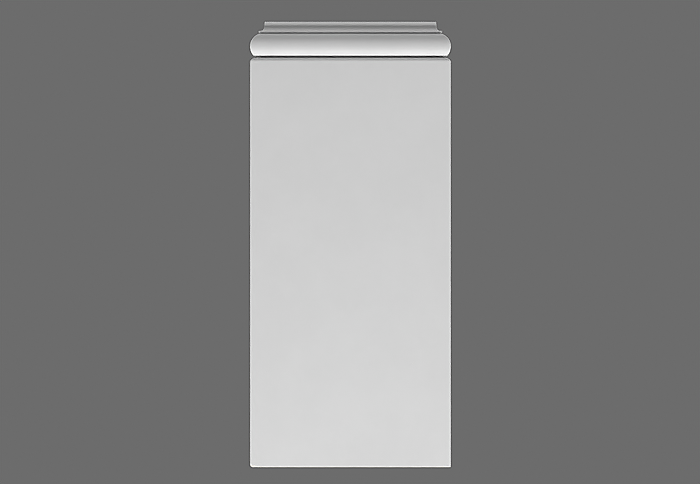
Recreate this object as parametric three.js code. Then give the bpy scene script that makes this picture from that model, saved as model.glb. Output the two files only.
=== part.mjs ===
// A pilaster base: a tall plinth block with a base moulding on top, cast in one piece with a flat back.
// The moulding runs along the front and returns along both sides to the wall, with mitred corners.
//
// Millimetres, +Z up. The origin is the middle of the underside. The front faces -Y, and the flat back,
// which goes against the wall, faces +Y.
import * as THREE from "three";

// The plinth block
const BLOCK_WIDTH = 140;
const BLOCK_DEPTH = 32;
const BLOCK_HEIGHT = 285.4; // floor to the lower lip of the quirk under the torus
const FOOT_RADIUS = 0.4; // the softened lower edge
const ARRIS_RADIUS = 0.7; // the softened upright corners

// The shoulder: the block's top edge slopes back to the quirk, farther at the sides than in front
const SHOULDER_RISE = 1.5;
const FRONT_SHOULDER = 1.5; // setback of its upper edge along the front
const SIDE_SHOULDER = 2.9; // and along the sides
const SHOULDER_RADIUS = 3; // where the front's slope turns into the face

// The quirk, a narrow square groove that makes the dark line under the torus
const QUIRK_HEIGHT = 1.5;
const QUIRK_DEPTH = 2.6; // behind the torus's lower edge

// The torus, a large half-round flush with the block's face
const TORUS_RADIUS = 9.3;
const TORUS_SETBACK = 2.75; // of its lower edge, from the block's face

// The quirk over the torus, a small square groove under the fillet
const UPPER_QUIRK_HEIGHT = 0.9;
const UPPER_QUIRK_DEPTH = 0.9; // behind the fillet's edge

// The fillet, the thin square-edged band over the upper quirk
const FILLET_HEIGHT = 0.95;
const FILLET_SETBACK = 6; // from the block's face
const FILLET_LEDGE = 1; // the level strip left on top of it, outside the hollow

// The cavetto, the hollow that sweeps up to the neck
const CAVETTO_RADIUS = 2.9;

// The neck, the plain band that carries the shaft
const NECK_HEIGHT = 3.5;
const NECK_CHAMFER = 0.3; // round the seat of the shaft

// How finely the curves are cut into flats, in degrees a step
const TORUS_STEP = 5;
const CAVETTO_STEP = 7.5;
const ROUNDING_STEP = 15;
const CORNER_STEP = 30;

const radians = THREE.MathUtils.degToRad;
const degrees = THREE.MathUtils.radToDeg;

// Points of an arc about (x, z), from one angle to another. The angles and the step are in degrees.
function arc(x, z, radius, from, to, step) {
  const steps = Math.max(1, Math.ceil(Math.abs(to - from) / step));
  const clockwise = to < from;
  const curve = new THREE.EllipseCurve(x, z, radius, radius, radians(from), radians(to), clockwise);
  return curve.getPoints(steps);
}

// The profile is drawn as points (setback from the block's face, height), bottom to top.
// Setback grows towards the object's middle, so 0 degrees in an arc points inwards and 180 outwards.

// The shoulder along the front: the face rounds over and slopes back to the lower lip of the quirk
function shoulderPoints() {
  const slope = Math.atan2(FRONT_SHOULDER, SHOULDER_RISE); // away from upright
  const tangent = SHOULDER_RADIUS * Math.tan(slope / 2);
  const roundingStart = BLOCK_HEIGHT - SHOULDER_RISE - tangent;
  const roundingEnd = 180 - degrees(slope);
  const rounding = arc(SHOULDER_RADIUS, roundingStart, SHOULDER_RADIUS, 180, roundingEnd, ROUNDING_STEP);
  return [...rounding, new THREE.Vector2(FRONT_SHOULDER, BLOCK_HEIGHT)];
}

// Everything over the shoulder, from the quirk up to the seat of the shaft
function mouldingPoints() {
  const points = [];

  // The quirk: in from the lip, up its back and out to the torus's lower edge
  const quirkSetback = TORUS_SETBACK + QUIRK_DEPTH;
  const torusBottom = BLOCK_HEIGHT + QUIRK_HEIGHT;
  points.push(new THREE.Vector2(quirkSetback, BLOCK_HEIGHT));
  points.push(new THREE.Vector2(quirkSetback, torusBottom));

  // The torus: it ends in the back of the upper quirk
  const upperQuirkSetback = FILLET_SETBACK + UPPER_QUIRK_DEPTH;
  const belowCentre = Math.acos((TORUS_RADIUS - TORUS_SETBACK) / TORUS_RADIUS);
  const aboveCentre = Math.acos((TORUS_RADIUS - upperQuirkSetback) / TORUS_RADIUS);
  const torusCentre = torusBottom + TORUS_RADIUS * Math.sin(belowCentre);
  const torusStart = 180 + degrees(belowCentre);
  const torusEnd = 180 - degrees(aboveCentre);
  points.push(...arc(TORUS_RADIUS, torusCentre, TORUS_RADIUS, torusStart, torusEnd, TORUS_STEP));

  // The upper quirk: straight up its back, then out along the underside of the fillet
  const torusTop = torusCentre + TORUS_RADIUS * Math.sin(aboveCentre);
  const filletBottom = torusTop + UPPER_QUIRK_HEIGHT;
  points.push(new THREE.Vector2(upperQuirkSetback, filletBottom));
  points.push(new THREE.Vector2(FILLET_SETBACK, filletBottom));

  // The fillet: its edge, then back along its top to the hollow
  const filletTop = filletBottom + FILLET_HEIGHT;
  points.push(new THREE.Vector2(FILLET_SETBACK, filletTop));

  // The cavetto: a quarter hollow, level where it leaves the fillet and upright where it meets the neck
  const hollowStart = FILLET_SETBACK + FILLET_LEDGE;
  const neckBottom = filletTop + CAVETTO_RADIUS;
  points.push(...arc(hollowStart, neckBottom, CAVETTO_RADIUS, -90, 0, CAVETTO_STEP));

  // The neck, with a small chamfer round the seat of the shaft
  const neckSetback = hollowStart + CAVETTO_RADIUS;
  const top = neckBottom + NECK_HEIGHT;
  points.push(new THREE.Vector2(neckSetback, top - NECK_CHAMFER));
  points.push(new THREE.Vector2(neckSetback + NECK_CHAMFER, top));
  return points;
}

// The whole profile, bottom to top. Only the shoulder has other setbacks at the sides than in front.
function profile() {
  const sideStretch = SIDE_SHOULDER / FRONT_SHOULDER;
  const foot = arc(FOOT_RADIUS, FOOT_RADIUS, FOOT_RADIUS, 270, 180, ROUNDING_STEP);
  return [
    ...foot.map(({ x, y }) => ({ front: x, side: x, height: y })),
    ...shoulderPoints().map(({ x, y }) => ({ front: x, side: x * sideStretch, height: y })),
    ...mouldingPoints().map(({ x, y }) => ({ front: x, side: x, height: y })),
  ];
}

// The outline seen from above, with its setbacks from the block's front and from its two sides. The two
// front corners are softened and the two at the wall are square. It runs anticlockwise from the wall.
function plan(frontSetback, sideSetback) {
  const side = BLOCK_WIDTH / 2 - sideSetback;
  const wall = BLOCK_DEPTH / 2;
  const front = -(BLOCK_DEPTH / 2 - frontSetback);
  const cornerX = side - ARRIS_RADIUS;
  const cornerY = front + ARRIS_RADIUS;
  return [
    new THREE.Vector2(-side, wall),
    ...arc(-cornerX, cornerY, ARRIS_RADIUS, 180, 270, CORNER_STEP),
    ...arc(cornerX, cornerY, ARRIS_RADIUS, 270, 360, CORNER_STEP),
    new THREE.Vector2(side, wall),
  ];
}

// A closed solid that joins the plans of all the profile's levels, one over the other.
function loft(levels) {
  const rings = levels.map(({ front, side, height }) =>
    plan(front, side).map((corner) => new THREE.Vector3(corner.x, corner.y, height))
  );
  const around = rings[0].length;
  const faces = [];
  for (let level = 0; level + 1 < rings.length; level++) {
    for (let corner = 0; corner < around; corner++) {
      const next = (corner + 1) % around;
      const [lowerHere, lowerNext] = [level * around + corner, level * around + next];
      const [upperHere, upperNext] = [lowerHere + around, lowerNext + around];
      faces.push(lowerHere, lowerNext, upperNext);
      faces.push(lowerHere, upperNext, upperHere);
    }
  }
  const lastRing = (rings.length - 1) * around;
  for (let corner = 1; corner + 1 < around; corner++) {
    faces.push(0, corner + 1, corner); // underside
    faces.push(lastRing, lastRing + corner, lastRing + corner + 1); // seat of the shaft
  }
  const geometry = new THREE.BufferGeometry().setFromPoints(rings.flat());
  geometry.setIndex(faces);
  geometry.computeVertexNormals();
  return geometry;
}

// Fine white casting plaster, sealed and left matt
const whitePlaster = new THREE.MeshStandardMaterial({ color: 0xe9e9e8, roughness: 0.6, metalness: 0 });

const pilasterBase = new THREE.Mesh(loft(profile()), whitePlaster);
pilasterBase.name = "pilaster_base";

const part = new THREE.Group();
part.add(pilasterBase);

export default part;
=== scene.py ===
# %% [markdown]
# # A pilaster base in white cast plaster
#
# A pilaster is a flat column against a wall, and this is its foot: a tall plain plinth block with a base
# moulding on top. The real one is a single casting. Plaster is poured into a mould that lies on its
# front, the open back is struck off level, and the faces that will show are sealed white.
#
# The solid from the CAD step fixes the size. This lesson builds the same form again as a finer mesh, with
# softened arrises, pinholes and a struck-off back, and gives it its finishes.
#
# Blender works in metres, with +X across, -Y the front, +Y the wall and +Z up from the floor.

# %% Load the solid that fixes the size
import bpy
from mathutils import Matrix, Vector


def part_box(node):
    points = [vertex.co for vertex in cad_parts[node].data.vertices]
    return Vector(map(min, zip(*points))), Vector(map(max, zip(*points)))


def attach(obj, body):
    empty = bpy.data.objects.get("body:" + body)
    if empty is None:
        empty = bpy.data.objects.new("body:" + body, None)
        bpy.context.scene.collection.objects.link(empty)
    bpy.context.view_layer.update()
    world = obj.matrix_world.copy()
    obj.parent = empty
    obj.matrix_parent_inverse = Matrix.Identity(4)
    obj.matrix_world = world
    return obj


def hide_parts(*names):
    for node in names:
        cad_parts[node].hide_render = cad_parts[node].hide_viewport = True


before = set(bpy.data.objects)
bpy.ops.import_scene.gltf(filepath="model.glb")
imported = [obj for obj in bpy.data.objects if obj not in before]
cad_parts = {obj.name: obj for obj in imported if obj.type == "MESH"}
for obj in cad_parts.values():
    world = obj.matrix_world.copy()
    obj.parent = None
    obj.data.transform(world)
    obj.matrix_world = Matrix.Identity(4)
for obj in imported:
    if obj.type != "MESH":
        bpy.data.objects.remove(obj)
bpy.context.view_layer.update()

# %% Modules
import math
import random

import bmesh
import bpy
import numpy as np
from mathutils import Vector, noise
from mathutils.geometry import delaunay_2d_cdt

# %% [markdown]
# ## The sizes
#
# A plasterer reads a moulding as a stack of members, each with its own height and its own setback from
# the face below. The overall width, depth and height come from the solid. The members are written in
# millimetres, and the block gets the height that the members leave over, so the stack always ends
# exactly at the top of the solid.

# %% Sizes in millimetres
MM = 0.001  # one millimetre in Blender's metres

solid_low, solid_high = (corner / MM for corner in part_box("pilaster_base"))
HALF_WIDTH = (solid_high.x - solid_low.x) / 2
FRONT, WALL = solid_low.y, solid_high.y
TOP = solid_high.z

SHOULDER_RISE = 1.5
FRONT_SHOULDER = 1.5  # setback of the shoulder's upper edge along the front
SIDE_SHOULDER = 2.9  # and along the two sides
QUIRK_HEIGHT = 1.5
QUIRK_DEPTH = 2.6  # behind the torus's lower edge
TORUS_RADIUS = 9.3
TORUS_SETBACK = 2.75  # of its lower edge
UPPER_QUIRK_HEIGHT = 0.9
UPPER_QUIRK_DEPTH = 0.9
FILLET_HEIGHT = 0.95
FILLET_SETBACK = 6.0
FILLET_LEDGE = 1.0
CAVETTO_RADIUS = 2.9
NECK_HEIGHT = 3.5
NECK_LEAN = 0.3  # how much farther back the neck is at its top

quirk_setback = TORUS_SETBACK + QUIRK_DEPTH
upper_quirk_setback = FILLET_SETBACK + UPPER_QUIRK_DEPTH

# Angles from the torus's widest point down to the quirk under it and up to the quirk over it
below_centre = math.acos(1 - TORUS_SETBACK / TORUS_RADIUS)
above_centre = math.acos(1 - upper_quirk_setback / TORUS_RADIUS)

neck_foot = TOP - NECK_HEIGHT
fillet_top = neck_foot - CAVETTO_RADIUS
fillet_foot = fillet_top - FILLET_HEIGHT
torus_top = fillet_foot - UPPER_QUIRK_HEIGHT
torus_centre = torus_top - TORUS_RADIUS * math.sin(above_centre)
torus_foot = torus_centre - TORUS_RADIUS * math.sin(below_centre)
block_top = torus_foot - QUIRK_HEIGHT
print(f"block {2 * HALF_WIDTH:.1f} x {WALL - FRONT:.1f} x {block_top:.1f} mm")
print(f"moulding {TOP - block_top:.1f} mm high")

# %% [markdown]
# ## The profile
#
# The profile is the line that a steel template cuts when the model for the mould is run. Each member is
# either a straight or a round stretch, so the line is written as straights and arcs. A real cast has no
# knife edges, because the mould is dressed and the sealer fills in, so every corner gets a tiny
# rounding of its own.
#
# The block's top edge slopes back to the quirk in a shoulder. In the photo it is cut back farther at the
# two ends than along the front, so its setbacks are stretched at the sides. The neck leans back a little,
# which makes it a shade darker in a light from below, as in the photo.

# %% Straights, arcs and softened corners
TORUS_STEP = 3  # degrees between points
CAVETTO_STEP = 6
CORNER_POINTS = 5  # points on a softened corner

SHOULDER_RADIUS = 3.0
LIP_RADIUS = 0.12
QUIRK_RADIUS = 0.15
FILLET_RADIUS = 0.15
RIM_RADIUS = 0.2


def arc(setback, height, radius, start, end, step):
    """Points of an arc about a centre. The angles are in degrees, and 180 points out of the face."""
    count = math.ceil(abs(end - start) / step)
    angles = [math.radians(start + (end - start) * i / count) for i in range(count + 1)]
    return [Vector((setback + radius * math.cos(a), height + radius * math.sin(a))) for a in angles]


def soften(before, corner, after, radius):
    """Points that round a corner, with the curve touching both of its sides."""
    toward, away = (before - corner).normalized(), (after - corner).normalized()
    reach = radius / math.tan(toward.angle(away) / 2)
    start, end = corner + toward * reach, corner + away * reach
    shares = [i / (CORNER_POINTS - 1) for i in range(CORNER_POINTS)]
    return [start * (1 - t) ** 2 + corner * 2 * t * (1 - t) + end * t**2 for t in shares]


def shoulder_profile():
    """The block's top edge along the front, as points of (setback, height) in millimetres."""
    foot = Vector((0, 0))
    shoulder = Vector((0, block_top - SHOULDER_RISE))
    lip = Vector((FRONT_SHOULDER, block_top))
    quirk_low = Vector((quirk_setback, block_top))
    return [
        *soften(foot, shoulder, lip, SHOULDER_RADIUS),
        *soften(shoulder, lip, quirk_low, LIP_RADIUS),
    ]


def moulding_profile():
    """The profile from the quirk up to the seat, as points of (setback, height) in millimetres."""
    quirk_low = Vector((quirk_setback, block_top))
    quirk_high = Vector((quirk_setback, torus_foot))
    torus_start, torus_end = 180 + math.degrees(below_centre), 180 - math.degrees(above_centre)
    torus = arc(TORUS_RADIUS, torus_centre, TORUS_RADIUS, torus_start, torus_end, TORUS_STEP)
    quirk_back = Vector((upper_quirk_setback, fillet_foot))
    fillet_low = Vector((FILLET_SETBACK, fillet_foot))
    fillet_high = Vector((FILLET_SETBACK, fillet_top))
    hollow_start = FILLET_SETBACK + FILLET_LEDGE
    cavetto = arc(hollow_start, neck_foot, CAVETTO_RADIUS, -90, 0, CAVETTO_STEP)
    rim = Vector((hollow_start + CAVETTO_RADIUS + NECK_LEAN, TOP))
    seat = Vector((hollow_start + 2 * CAVETTO_RADIUS, TOP))
    return [
        quirk_low,
        quirk_high,
        *soften(quirk_high, torus[0], torus[1], LIP_RADIUS),
        *torus[1:-1],
        *soften(torus[-2], torus[-1], quirk_back, QUIRK_RADIUS),
        *soften(torus[-1], quirk_back, fillet_low, QUIRK_RADIUS),
        *soften(quirk_back, fillet_low, fillet_high, FILLET_RADIUS),
        *soften(fillet_low, fillet_high, cavetto[0], FILLET_RADIUS),
        *cavetto,
        *soften(cavetto[-1], rim, seat, RIM_RADIUS),
    ]


# Each point of the whole profile is its setback in front, its setback at the sides, and its height
side_stretch = SIDE_SHOULDER / FRONT_SHOULDER
profile = [Vector((point.x, point.x * side_stretch, point.y)) for point in shoulder_profile()]
profile += [Vector((point.x, point.x, point.y)) for point in moulding_profile()]
deepest = max(point.x for point in profile)
print(f"moulding profile: {len(profile)} points, deepest setback {deepest:.2f} mm")

# %% [markdown]
# ## The rings
#
# The moulding runs along the front and turns back to the wall at both ends. Blender could sweep the
# profile as a curve bevel, but a bevel pinches at a mitre. Here every point of the profile becomes a
# ring instead: the outline of the base seen from above, moved in by that point's setback. Rings that are
# joined one over the other mitre themselves.
#
# The lower left edge of the real block is rubbed rounder than the rest, so the radius of the foot
# changes round the ring.

# %% Rings
BLOCK_ARRIS = 0.7  # radius of the block's upright corners
MITRE_ARRIS = 0.25  # the moulding's mitres are crisper
ARRIS_STEPS = 5
FOOT_STEPS = 6

FRONT_FOOT = 0.3  # radius of the lower edge along the front
LEFT_FOOT = 1.9  # the rubbed edge
RIGHT_FOOT = 0.8
FOOT_FADE = 9.0  # how far along the front the change of radius takes

# Each place on a ring is its share of the way across the front, from -1 at the left corner to 1 at the
# right one, the turn of the corner there in degrees, and whether it stands at the wall instead.
corner_turns = [90 * i / ARRIS_STEPS for i in range(ARRIS_STEPS + 1)]
front_shares = [-0.97, -0.94, -0.9, -0.86, -0.3, 0.3, 0.86, 0.9, 0.94, 0.97]
places = [(-1, 0, True)]
places += [(-1, turn, False) for turn in corner_turns]
places += [(share, 90, False) for share in front_shares]
places += [(1, turn, False) for turn in reversed(corner_turns)]
places += [(1, 0, True)]


def smooth_share(value):
    """0 below 0, 1 above 1, and an even S-curve between."""
    value = min(1.0, max(0.0, value))
    return value * value * (3 - 2 * value)


def ring_point(place, front_setback, side_setback, height, arris):
    """One point of a ring, in millimetres."""
    share, turn, at_wall = place
    turn = math.radians(turn)
    x = share * (HALF_WIDTH - side_setback - arris) + math.copysign(arris * math.cos(turn), share)
    y = WALL if at_wall else FRONT + front_setback + arris * (1 - math.sin(turn))
    return Vector((x, y, height))


def foot_radius(place):
    """The radius of the lower edge at a place on the ring."""
    x = ring_point(place, 0, 0, 0, BLOCK_ARRIS).x
    near_left = 1 - smooth_share((x + HALF_WIDTH - BLOCK_ARRIS) / FOOT_FADE)
    near_right = 1 - smooth_share((HALF_WIDTH - BLOCK_ARRIS - x) / FOOT_FADE)
    return FRONT_FOOT + (LEFT_FOOT - FRONT_FOOT) * near_left + (RIGHT_FOOT - FRONT_FOOT) * near_right


def foot_ring(turn):
    """A ring of the rounded foot, from the floor at 0 degrees to the upright face at 90."""
    rise, back = 1 - math.cos(math.radians(turn)), 1 - math.sin(math.radians(turn))
    ring = []
    for place in places:
        radius = foot_radius(place)
        ring.append(ring_point(place, radius * back, radius * back, radius * rise, BLOCK_ARRIS))
    return ring


def moulding_ring(point):
    """The ring of one point of the profile."""
    crisp = smooth_share((point.z - block_top + SHOULDER_RISE) / SHOULDER_RISE)
    arris = BLOCK_ARRIS + (MITRE_ARRIS - BLOCK_ARRIS) * crisp
    return [ring_point(place, *point, arris) for place in places]


rings = [foot_ring(90 * i / FOOT_STEPS) for i in range(FOOT_STEPS + 1)]
rings += [moulding_ring(point) for point in profile]
print(f"{len(rings)} rings of {len(places)} points")

# %% [markdown]
# ## Pinholes and pits
#
# Air that is stirred into plaster leaves bubbles. The face that lay against the mould shows only the few
# that touched it, as pinholes a fraction of a millimetre across. They could be painted on, but a painted
# hole has no shade of its own, so each one is a real bowl that is sunk into the flat.
#
# A flat with holes can't be one face. Blender's Delaunay triangulation fills a border while it keeps the
# rim of each hole, and it takes in any loose points on the way.

# %% Scatter pits and fill a flat round them
PIT_SIDES = 9
BOWL_RINGS = [(0.85, 0.45), (0.5, 0.85)]  # shares of the pit's radius and of its depth
PIT_CLEARANCE = 1.0  # least gap between two pits and round the border, in millimetres
WITHIN_BORDER = 1  # Blender's number for triangles that lie within the border only
ONE_POINT = 1e-6  # points nearer to each other than this count as one, in millimetres


def scatter(count, low, high, sizes, seed):
    """Pits at random places in a rectangle, none on another, as (u, v, radius) in millimetres."""
    dice = random.Random(seed)
    pits = []
    while len(pits) < count:
        radius = sizes[0] + (sizes[1] - sizes[0]) * dice.random() ** 3  # most of them are small
        margin = radius + PIT_CLEARANCE
        u = dice.uniform(low[0] + margin, high[0] - margin)
        v = dice.uniform(low[1] + margin, high[1] - margin)
        if all(math.dist((u, v), (a, b)) > margin + r for a, b, r in pits):
            pits.append((u, v, radius))
    return pits


def pit_ring(pit, share=1.0):
    """Points round a pit, at a share of its radius."""
    u, v, radius = pit
    turns = [2 * math.pi * i / PIT_SIDES for i in range(PIT_SIDES)]
    return [(u + share * radius * math.cos(turn), v + share * radius * math.sin(turn)) for turn in turns]


def fill_flat(mesh, border, across, out, pits=(), loose=()):
    """Fills a flat border with triangles, sinks a bowl for each pit, and returns the new corners.

    across is the axis, 0 or 1, that runs along the flat beside the height. out is 1 or -1, the way that
    the flat faces on the other axis."""
    through = 1 - across
    plane = border[0].co[through]

    def corner(u, v, depth=0.0):
        point = Vector((0, 0, v * MM))
        point[across], point[through] = u * MM, plane - out * depth * MM
        return mesh.verts.new(point)

    rims = [[corner(u, v) for u, v in pit_ring(pit)] for pit in pits]
    inside = [corner(u, v) for u, v in loose]
    corners = [*border, *(vert for rim in rims for vert in rim), *inside]
    edges = []
    first = 0
    for loop in [border, *rims]:
        edges += [(first + i, first + (i + 1) % len(loop)) for i in range(len(loop))]
        first += len(loop)
    flat = [Vector((vert.co[across], vert.co.z)) / MM for vert in corners]
    filled = delaunay_2d_cdt(flat, edges, [], WITHIN_BORDER, ONE_POINT)
    triangles, origins = filled[2:4]

    pit_of = {vert: number for number, rim in enumerate(rims) for vert in rim}
    for triangle in triangles:
        verts = [corners[origins[index][0]] for index in triangle]
        owners = {pit_of.get(vert) for vert in verts}
        if None in owners or len(owners) > 1:  # else it would lie across a pit's mouth
            mesh.faces.new(verts)

    bowls = []
    for pit, outer in zip(pits, rims):
        radius = pit[2]
        for share, depth in BOWL_RINGS:
            inner = [corner(u, v, depth * radius) for u, v in pit_ring(pit, share)]
            for i in range(PIT_SIDES):
                j = (i + 1) % PIT_SIDES
                mesh.faces.new((outer[i], outer[j], inner[j], inner[i]))
            bowls += inner
            outer = inner
        bottom = corner(pit[0], pit[1], radius)
        for i in range(PIT_SIDES):
            mesh.faces.new((outer[i], outer[(i + 1) % PIT_SIDES], bottom))
        bowls.append(bottom)
    return corners[len(border):] + bowls


# %% [markdown]
# ## Join the rings
#
# Neighbouring rings are joined by four-sided faces. The tall plain stretch of the block is the
# exception: its front and its two sides are flats with pinholes, so only its rounded corners are joined.
# In the photo the pinholes are so faint that each must be less than half a millimetre across.

# %% Block, moulding, seat and underside
PINHOLE_SIZES = (0.09, 0.24)  # radius in millimetres
FRONT_PINHOLES, SIDE_PINHOLES = 90, 18
FRONT_SEED, LEFT_SEED, RIGHT_SEED = 11, 12, 13

left_corner = places.index((-1, corner_turns[0], False))
front_start = places.index((-1, 90, False))
front_end = places.index((1, 90, False))
right_corner = places.index((1, corner_turns[0], False))
plain_level = FOOT_STEPS  # the ring under the tall plain stretch

cast = bmesh.new()
from_edge = cast.verts.layers.float.new("from_edge")  # used on the back
ring_verts = [[cast.verts.new(point * MM) for point in points] for points in rings]
for level, (low, high) in enumerate(zip(ring_verts, ring_verts[1:])):
    for k in range(len(places) - 1):
        on_corner = left_corner <= k < front_start or front_end <= k < right_corner
        if level != plain_level or on_corner:
            cast.faces.new((low[k], low[k + 1], high[k + 1], high[k]))
cast.faces.new(ring_verts[0])
cast.faces.new(ring_verts[-1])


def plain_border(start, end):
    """The corners round a plain flat, between two places on the rings under and over it."""
    low, high = ring_verts[plain_level], ring_verts[plain_level + 1]
    return low[start : end + 1] + high[start : end + 1][::-1]


plain_low = max(LEFT_FOOT, FRONT_FOOT, RIGHT_FOOT)
plain_high = profile[0].z
side_back, side_front = WALL, FRONT + BLOCK_ARRIS
front_span = HALF_WIDTH - BLOCK_ARRIS

low, high = (-front_span, plain_low), (front_span, plain_high)
front_pits = scatter(FRONT_PINHOLES, low, high, PINHOLE_SIZES, FRONT_SEED)
fill_flat(cast, plain_border(front_start, front_end), 0, -1, front_pits)

low, high = (side_front, plain_low), (side_back, plain_high)
sides = [(LEFT_SEED, -1, 0, left_corner), (RIGHT_SEED, 1, right_corner, len(places) - 1)]
for seed, out, start, end in sides:
    pits = scatter(SIDE_PINHOLES, low, high, PINHOLE_SIZES, seed)
    fill_flat(cast, plain_border(start, end), 1, out, pits)
print(f"pinholes: {len(front_pits)} in the front, {SIDE_PINHOLES} in each side")
print(f"{len(cast.faces)} faces so far")

# %% [markdown]
# ## Strike off the back
#
# The back is the open side of the mould. While the plaster sets, a straight bar is drawn along the
# mould's two rims, so the back is flat at its edges and a little hollow between them. The bar leaves long
# shallow drag lines, small ripples where it stuck, and burst bubbles far larger than any on the front.
#
# A sculpted or displaced surface would lose its clean border, so the flat is filled through a grid of
# loose points, and each point is then lowered by a formula. Near the border nothing is lowered, and the
# back still stands flat against the wall.

# %% Back
GRID_PITCH = 1.3
BACK_PITS = 46
BACK_PIT_SIZES = (0.3, 1.7)
BACK_SEED = 14
RIM_WIDTH = 6.0  # the level strip where the bar rode on the mould

SAG_DEPTH = 0.22  # the hollow between the rims
SAG_WIDTH, SAG_LENGTH = 38, 60  # the size of its waves across and along the back
LINE_DEPTH = 0.11  # the drag lines
LINE_WIDTH, LINE_LENGTH = 2.9, 170
LINE_WANDER, WANDER_LENGTH = 2.5, 75  # how far a drag line strays from straight, and over what length
RIPPLE_DEPTH = 0.05  # the ripples where the bar stuck
RIPPLE_WIDTH, RIPPLE_LENGTH = 26, 3.6


def distance_to(border, points):
    """How far each point lies from a closed border, in the unit of both."""
    start = np.array(border)
    way = np.roll(start, -1, axis=0) - start
    gap = points[:, None, :] - start[None, :, :]
    share = np.clip((gap * way).sum(axis=2) / (way * way).sum(axis=1), 0, 1)
    return np.linalg.norm(gap - share[:, :, None] * way, axis=2).min(axis=1)


def inside_base(u, v):
    """Whether a point of the back lies within the outline, well clear of it."""
    clear = GRID_PITCH / 2
    if v < block_top:
        setback = SIDE_SHOULDER * max(0.0, 1 - (block_top - v) / SHOULDER_RISE)
    elif v < torus_foot:
        setback = quirk_setback
    elif v < torus_top:
        offset = v - torus_centre
        setback = TORUS_RADIUS - math.sqrt(max(0.0, TORUS_RADIUS**2 - offset**2))
    else:
        setback = FILLET_SETBACK + FILLET_LEDGE + CAVETTO_RADIUS + NECK_LEAN
    return abs(u) < HALF_WIDTH - setback - clear and clear < v < TOP - clear


def clear_of(pits, u, v):
    """Whether a point of the back stands clear of every pit's mouth."""
    return all(math.dist((u, v), (a, b)) > radius + GRID_PITCH / 3 for a, b, radius in pits)


def wave(across, along, layer):
    """Smooth noise from -1 to 1. Each layer is another pattern."""
    return noise.noise(Vector((across, along, layer)))


def struck_depth(u, v):
    """How far the struck plaster lies below the level of the mould's rims, in millimetres."""
    sag = SAG_DEPTH * (0.5 + 0.5 * wave(u / SAG_WIDTH, v / SAG_LENGTH, 1.0))
    wander = LINE_WANDER * wave(0.0, v / WANDER_LENGTH, 2.0)
    lines = LINE_DEPTH * (0.5 + 0.5 * wave((u + wander) / LINE_WIDTH, v / LINE_LENGTH, 3.0))
    ripple = RIPPLE_DEPTH * max(0.0, wave(u / RIPPLE_WIDTH, v / RIPPLE_LENGTH, 4.0))
    return sag + lines + ripple


back_border = [ring[0] for ring in ring_verts] + [ring[-1] for ring in reversed(ring_verts)]
back_outline = [(vert.co.x / MM, vert.co.z / MM) for vert in back_border]
low, high = (-HALF_WIDTH, 0), (HALF_WIDTH, block_top - SHOULDER_RISE)
back_pits = scatter(BACK_PITS, low, high, BACK_PIT_SIZES, BACK_SEED)

columns = int(2 * HALF_WIDTH / GRID_PITCH)
rows = int(TOP / GRID_PITCH)
grid_u = [(i + 0.5) * GRID_PITCH - HALF_WIDTH for i in range(columns)]
grid_v = [(j + 0.5) * GRID_PITCH for j in range(rows)]
grid = [(u, v) for u in grid_u for v in grid_v if inside_base(u, v)]
grid = [(u, v) for u, v in grid if clear_of(back_pits, u, v)]
back_verts = fill_flat(cast, back_border, 0, 1, back_pits, grid)

spots = np.array([(vert.co.x, vert.co.z) for vert in back_verts]) / MM
for vert, (u, v), distance in zip(back_verts, spots, distance_to(back_outline, spots)):
    vert[from_edge] = distance
    vert.co.y -= struck_depth(u, v) * smooth_share(distance / RIM_WIDTH) * MM
print(f"back: {len(grid)} grid points, {len(back_pits)} pits")

# %% [markdown]
# ## The cast
#
# One closed body takes the place of the solid. Its flats must stay flat in the shading while the torus
# and the roundings beside them run smooth. The weighted normal modifier does that, because it lets the
# larger face decide the shading of a shared corner.

# %% Make the object
SHARP_ANGLE = 34  # degrees
FACES_DOWN, FACES_UP = -0.2, 0.999  # limits for the upward part of a face's normal

SEALED, STRUCK, MOULDED_AND_FOOT_SHADE = range(3)  # the slots of the three finishes

bmesh.ops.recalc_face_normals(cast, faces=cast.faces)
struck = set(back_verts)
for face in cast.faces:
    face.smooth = True
    height = face.calc_center_median().z / MM
    # Faces that look down near the floor: the underside, and the rounded lower edge, whose darker bare
    # finish is painted shade that mutes its glow in the key light from below
    underside_and_foot_shade = face.normal.z < FACES_DOWN and height < plain_low
    on_seat = face.normal.z > FACES_UP and height > neck_foot
    if struck.intersection(face.verts):
        face.material_index = STRUCK
    elif underside_and_foot_shade or on_seat:
        face.material_index = MOULDED_AND_FOOT_SHADE
    else:
        face.material_index = SEALED
open_edges = [edge for edge in cast.edges if len(edge.link_faces) != 2]

base_mesh = bpy.data.meshes.new("pilaster_base_cast")
cast.to_mesh(base_mesh)
cast.free()
base_mesh.set_sharp_from_angle(angle=math.radians(SHARP_ANGLE))
base = bpy.data.objects.new("pilaster_base_cast", base_mesh)
bpy.context.scene.collection.objects.link(base)
shading = base.modifiers.new("flats_stay_flat", "WEIGHTED_NORMAL")
shading.weight = 100  # the larger face decides
shading.keep_sharp = True

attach(base, "root")
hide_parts("pilaster_base")
print(f"cast: {len(base_mesh.vertices)} corners, {len(base_mesh.polygons)} faces")
print(f"{len(open_edges)} open edges")

# %% [markdown]
# ## Colours and nodes
#
# Colours are written as the sRGB hex values that a colour picker shows, and one function turns them into
# the linear values that Blender computes with. Another adds a node with its settings and its links.

# %% Helpers for the finishes


def colour(hex_value):
    """An sRGB hex value as the linear colour that a shader needs."""
    channels = [int(hex_value[i : i + 2], 16) / 255 for i in (1, 3, 5)]
    linear = [c / 12.92 if c <= 0.04045 else ((c + 0.055) / 1.055) ** 2.4 for c in channels]
    return (*linear, 1.0)


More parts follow.
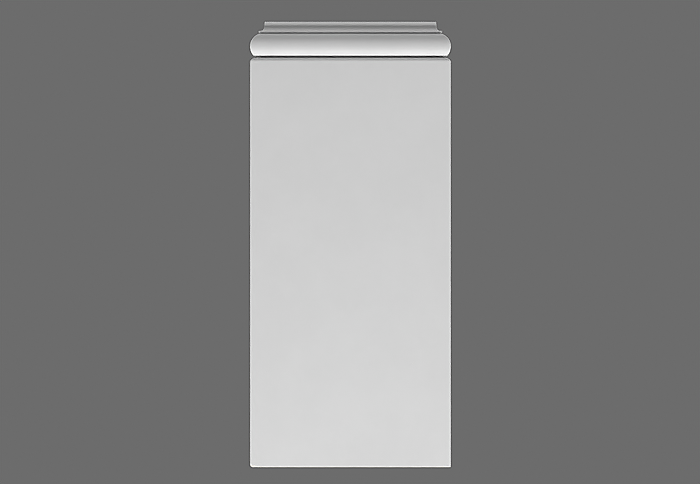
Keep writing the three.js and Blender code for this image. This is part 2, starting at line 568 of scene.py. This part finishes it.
def add(tree, kind, **settings):
    """Adds a node. A setting names an input or a property, and a socket as its value makes a link."""
    node = tree.nodes.new(tree.bl_idname.replace("Tree", kind))
    plugs = [name for name in settings if name[0].isupper() or name.startswith("input")]
    for name in settings:
        if name not in plugs:
            setattr(node, name, settings[name])
    for name in plugs:
        numbered = name.startswith("input")
        plug = node.inputs[int(name.removeprefix("input")) if numbered else name.replace("_", " ")]
        if isinstance(settings[name], bpy.types.NodeSocket):
            tree.links.new(settings[name], plug)
        else:
            plug.default_value = settings[name]
    return node


def new_material(name):
    """An empty material, its node tree and its position in millimetres."""
    material = bpy.data.materials.new(name)
    material.use_nodes = True
    tree = material.node_tree
    tree.nodes.clear()
    place = add(tree, "TexCoord").outputs["Object"]
    in_mm = add(tree, "VectorMath", operation="SCALE", input0=place, Scale=1 / MM).outputs[0]
    return material, tree, in_mm


# %% [markdown]
# ## Sealed white plaster
#
# Fine casting plaster, sealed with white primer. It was moulded against a smooth rubber skin, so the
# surface has no grain of its own. The sealer gives the eye a soft, slightly uneven sheen, with a faint
# orange peel about 2 mm across and clouds of a slightly different white where the plaster drank more of
# it. The white is neutral in the photo.

# %% Sealed finish
SEALED_WHITE = "#E9E9E9"
SEALED_CLOUD = "#E6E6E6"
SHEEN_LOW, SHEEN_HIGH = 0.5, 0.6  # roughness of the sealer
IOR = 1.5  # of the sealer and of the plaster
NOISE_LOW, NOISE_HIGH = 0.35, 0.65  # most values of a noise texture lie between these
CLOUD_SIZE = 34.0  # millimetres
PEEL_SIZE = 1.9
PEEL_HEIGHT = 0.008
DUST_SIZE = 0.45
DUST_HEIGHT = 0.006


def sealed_plaster():
    material, tree, in_mm = new_material("sealed_white_plaster")
    clouds = add(tree, "TexNoise", Vector=in_mm, Scale=1 / CLOUD_SIZE, Detail=3.0, Roughness=0.55)
    cloud = clouds.outputs["Fac"]
    tint = add(tree, "MapRange", Value=cloud, From_Min=NOISE_LOW, From_Max=NOISE_HIGH).outputs["Result"]
    first, second = colour(SEALED_WHITE), colour(SEALED_CLOUD)
    white = add(tree, "Mix", data_type="RGBA", input0=tint, input6=first, input7=second).outputs[2]
    sheen = add(
        tree, "MapRange", Value=cloud, From_Min=0.3, From_Max=0.7, To_Min=SHEEN_LOW, To_Max=SHEEN_HIGH
    ).outputs["Result"]
    peel = add(tree, "TexNoise", Vector=in_mm, Scale=1 / PEEL_SIZE, Detail=2.0).outputs["Fac"]
    peel_bump = add(tree, "Bump", Height=peel, Distance=PEEL_HEIGHT * MM).outputs["Normal"]
    dust = add(tree, "TexNoise", Vector=in_mm, Scale=1 / DUST_SIZE, Detail=2.0).outputs["Fac"]
    normal = add(tree, "Bump", Height=dust, Distance=DUST_HEIGHT * MM, Normal=peel_bump).outputs["Normal"]
    shader = add(tree, "BsdfPrincipled", Base_Color=white, Roughness=sheen, Normal=normal, IOR=IOR)
    add(tree, "OutputMaterial", Surface=shader.outputs["BSDF"])
    return material


base_mesh.materials.append(sealed_plaster())
print("finish:", base_mesh.materials[SEALED].name)

# %% [markdown]
# ## Bare plaster
#
# Fine casting plaster as it sets, with nothing on it. It was struck off with a bar on the back and moulded
# against the mould's end walls on the seat and the underside. It is duller and a little warmer and greyer
# than the sealed faces, with a dry powdery bloom and no sheen. The struck back also has fine drag lines
# along its height. The sealer was brushed on from the front, and its ragged lap shows as a white border a
# few millimetres wide. The rounded lower edge gets the moulded finish as well, as painted shade: it is
# darker than the sealed white there only to mute the glow that the key light from below the floor gives
# it.

# %% Bare finishes
BARE_LIGHT = "#E6E3DC"
BARE_DARK = "#DAD6CD"
BARE_ROUGHNESS = 0.78
LAP_ROUGHNESS = 0.45  # of the sealer's lap
BLOOM_SIZE = 14.0
POWDER_SIZE = 0.35
POWDER_HEIGHT = 0.02
DRAG_WIDTH = 1.1  # the fine drag lines
DRAG_LENGTH = 60.0
DRAG_HEIGHT = 0.035
LAP_WIDTH = 2.6  # how far the sealer reaches onto the back
LAP_RAGGED = 4.5
LAP_SIZE = 9.0  # length of one wave of its edge
LAP_BLUR = 0.3  # half the width in which the lap gives way to bare plaster


def bare_plaster(name, struck_off):
    material, tree, in_mm = new_material(name)
    bloom = add(tree, "TexNoise", Vector=in_mm, Scale=1 / BLOOM_SIZE, Detail=5.0, Roughness=0.6)
    tint = add(
        tree, "MapRange", Value=bloom.outputs["Fac"], From_Min=NOISE_LOW, From_Max=NOISE_HIGH
    ).outputs["Result"]
    first, second = colour(BARE_LIGHT), colour(BARE_DARK)
    shade = add(tree, "Mix", data_type="RGBA", input0=tint, input6=first, input7=second).outputs[2]
    powder = add(tree, "TexNoise", Vector=in_mm, Scale=1 / POWDER_SIZE, Detail=3.0).outputs["Fac"]
    normal = add(tree, "Bump", Height=powder, Distance=POWDER_HEIGHT * MM).outputs["Normal"]
    roughness = BARE_ROUGHNESS
    if struck_off:
        stretch = (1 / DRAG_WIDTH, 1, 1 / DRAG_LENGTH)
        stretched = add(tree, "VectorMath", operation="MULTIPLY", input0=in_mm, input1=stretch).outputs[0]
        drag = add(tree, "TexNoise", Vector=stretched, Scale=1.0, Detail=3.0).outputs["Fac"]
        normal = add(tree, "Bump", Height=drag, Distance=DRAG_HEIGHT * MM, Normal=normal).outputs["Normal"]
        edge = add(tree, "Attribute", attribute_name="from_edge").outputs["Fac"]
        ragged = add(tree, "TexNoise", Vector=in_mm, Scale=1 / LAP_SIZE, Detail=4.0).outputs["Fac"]
        reach = add(
            tree, "Math", operation="MULTIPLY_ADD", input0=ragged, input1=-2 * LAP_RAGGED, input2=edge
        ).outputs[0]
        lap_edge = LAP_WIDTH - LAP_RAGGED
        lap = add(
            tree, "MapRange", Value=reach, From_Min=lap_edge - LAP_BLUR, From_Max=lap_edge + LAP_BLUR
        ).outputs["Result"]
        sealed = colour(SEALED_WHITE)
        shade = add(tree, "Mix", data_type="RGBA", input0=lap, input6=sealed, input7=shade).outputs[2]
        roughness = add(
            tree, "MapRange", Value=lap, To_Min=LAP_ROUGHNESS, To_Max=BARE_ROUGHNESS
        ).outputs["Result"]
    shader = add(tree, "BsdfPrincipled", Base_Color=shade, Roughness=roughness, Normal=normal, IOR=IOR)
    add(tree, "OutputMaterial", Surface=shader.outputs["BSDF"])
    return material


base_mesh.materials.append(bare_plaster("bare_struck_plaster", struck_off=True))
# The moulded finish goes on the seat and the underside, and as painted shade on the rounded lower edge
base_mesh.materials.append(bare_plaster("bare_moulded_plaster_and_foot_shade", struck_off=False))
print("finishes:", [material.name for material in base_mesh.materials])

# %% [markdown]
# ## Floor and backdrop
#
# The base stands on a plain pale floor. The photo shows it against an even mid grey, which is the colour
# of the world here. The key light comes from below the level of the floor, so the floor throws no shadow.

# %% Floor and world
FLOOR_RADIUS = 3.0  # metres
FLOOR_SIDES = 96
FLOOR_DROP = 0.0003  # just under the base, so that the two never share a plane
FLOOR_GREY = "#B9B9B9"
FLOOR_ROUGHNESS = 0.9
BACKDROP_GREY = "#6C6C6C"

floor_mesh = bpy.data.meshes.new("floor")
disc = bmesh.new()
bmesh.ops.create_circle(disc, cap_ends=True, radius=FLOOR_RADIUS, segments=FLOOR_SIDES)
disc.to_mesh(floor_mesh)
disc.free()
floor = bpy.data.objects.new("floor", floor_mesh)
floor.location.z = -FLOOR_DROP
floor.visible_shadow = False
bpy.context.scene.collection.objects.link(floor)

floor_material, floor_tree = new_material("pale_floor")[:2]
pale = colour(FLOOR_GREY)
floor_shader = add(floor_tree, "BsdfPrincipled", Base_Color=pale, Roughness=FLOOR_ROUGHNESS)
add(floor_tree, "OutputMaterial", Surface=floor_shader.outputs["BSDF"])
floor_mesh.materials.append(floor_material)

world = bpy.data.worlds.new("studio")
world.use_nodes = True
backdrop = world.node_tree.nodes["Background"]
backdrop.inputs["Color"].default_value = colour(BACKDROP_GREY)
backdrop.inputs["Strength"].default_value = 1.0
bpy.context.scene.world = world
print("backdrop grey, linear:", round(colour(BACKDROP_GREY)[0], 4))

# %% [markdown]
# ## Light
#
# In the photo the underside of the torus is almost white, the block's face is a light grey that gets
# lighter towards the floor, and everything that faces up is darker. So the key is a wide soft box low in
# front. A weaker box over and in front fills the upper faces. Two more behind are there only for the back
# and the sides. The right one is stronger, so that the drag lines and the pits of the back get some shade.

# %% Soft boxes


def soft_box(name, place, aim, width, height, power):
    """A rectangular area light that faces a point. The camera doesn't see it."""
    data = bpy.data.lights.new(name, "AREA")
    data.shape = "RECTANGLE"
    data.size, data.size_y, data.energy = width, height, power
    box = bpy.data.objects.new(name, data)
    box.location = place
    box.rotation_euler = (Vector(aim) - Vector(place)).to_track_quat("-Z", "Y").to_euler()
    box.visible_camera = False
    bpy.context.scene.collection.objects.link(box)


# The name, place, width and height of each box in metres, and its power in watts
SOFT_BOXES = [
    ("key_below", (0, -1.76, -1.9), 2.4, 0.9, 69.5),
    ("fill_above", (0, -0.21, 1.64), 2.4, 0.8, 7.5),
    ("back_left", (-1.8, 1.5, 1.3), 1.2, 1.2, 15),
    ("back_right", (1.8, 1.5, 1.3), 1.2, 1.2, 23),
]
middle_of_base = (0, 0, TOP * MM / 2)
for name, place, width, height, power in SOFT_BOXES:
    soft_box(name, place, middle_of_base, width, height, power)

# %% [markdown]
# ## Camera
#
# The photo is square on to the front with no perspective to be seen, so the lens is very long and the
# camera far away. It stands at the level of the floor and looks up by less than a degree. From there the
# floor is edge on and doesn't show, as in the photo.

# %% Camera
PHOTO_WIDTH, PHOTO_HEIGHT = 700, 484  # pixels
BLOCK_PIXELS = 200.8  # the block's width in the photo
CENTRE_COLUMN = 350.45  # its middle
FLOOR_ROW = 467.12  # its lower edge, counted from the top

SENSOR = 36.0  # millimetres
LENS = 1000.0

metres_per_pixel = 2 * HALF_WIDTH * MM / BLOCK_PIXELS
distance = metres_per_pixel * PHOTO_WIDTH * LENS / SENSOR
middle = Vector((
    (PHOTO_WIDTH / 2 - CENTRE_COLUMN) * metres_per_pixel,
    FRONT * MM,
    (FLOOR_ROW - PHOTO_HEIGHT / 2) * metres_per_pixel,
))

camera_data = bpy.data.cameras.new("camera")
camera_data.lens, camera_data.sensor_width = LENS, SENSOR
camera_data.clip_end = 2 * distance
camera = bpy.data.objects.new("camera", camera_data)
camera.location = (middle.x, middle.y - distance, -FLOOR_DROP)
camera.rotation_euler = (middle - camera.location).to_track_quat("-Z", "Y").to_euler()
bpy.context.scene.collection.objects.link(camera)
bpy.context.scene.camera = camera
bpy.context.scene.view_settings.view_transform = "Standard"
print(f"camera {distance:.2f} m away, {metres_per_pixel / MM:.3f} mm a pixel")

# %% [markdown]
# ## Develop the picture
#
# The photo was sharpened after it was scaled down. That shows as a thin light line on the light side of
# each edge and a thin dark one on its dark side, and it makes the quirks look crisp. The render gets a
# milder sharpening. It works on display values, as a photo editor does, so the picture is encoded before
# and decoded after.

# %% Sharpen
SHARPNESS = 0.5
DISPLAY_GAMMA = 2.2

studio = bpy.context.scene
studio.use_nodes = True
darkroom = studio.node_tree
darkroom.nodes.clear()
shot = add(darkroom, "RLayers").outputs["Image"]
encoded = add(darkroom, "Gamma", Image=shot, Gamma=1 / DISPLAY_GAMMA).outputs["Image"]
sharpen = add(darkroom, "Filter", filter_type="SHARPEN_DIAMOND", Image=encoded, Fac=SHARPNESS)
crisp = sharpen.outputs["Image"]
decoded = add(darkroom, "Gamma", Image=crisp, Gamma=DISPLAY_GAMMA).outputs["Image"]
add(darkroom, "Composite", Image=decoded)
print("sharpening:", SHARPNESS)
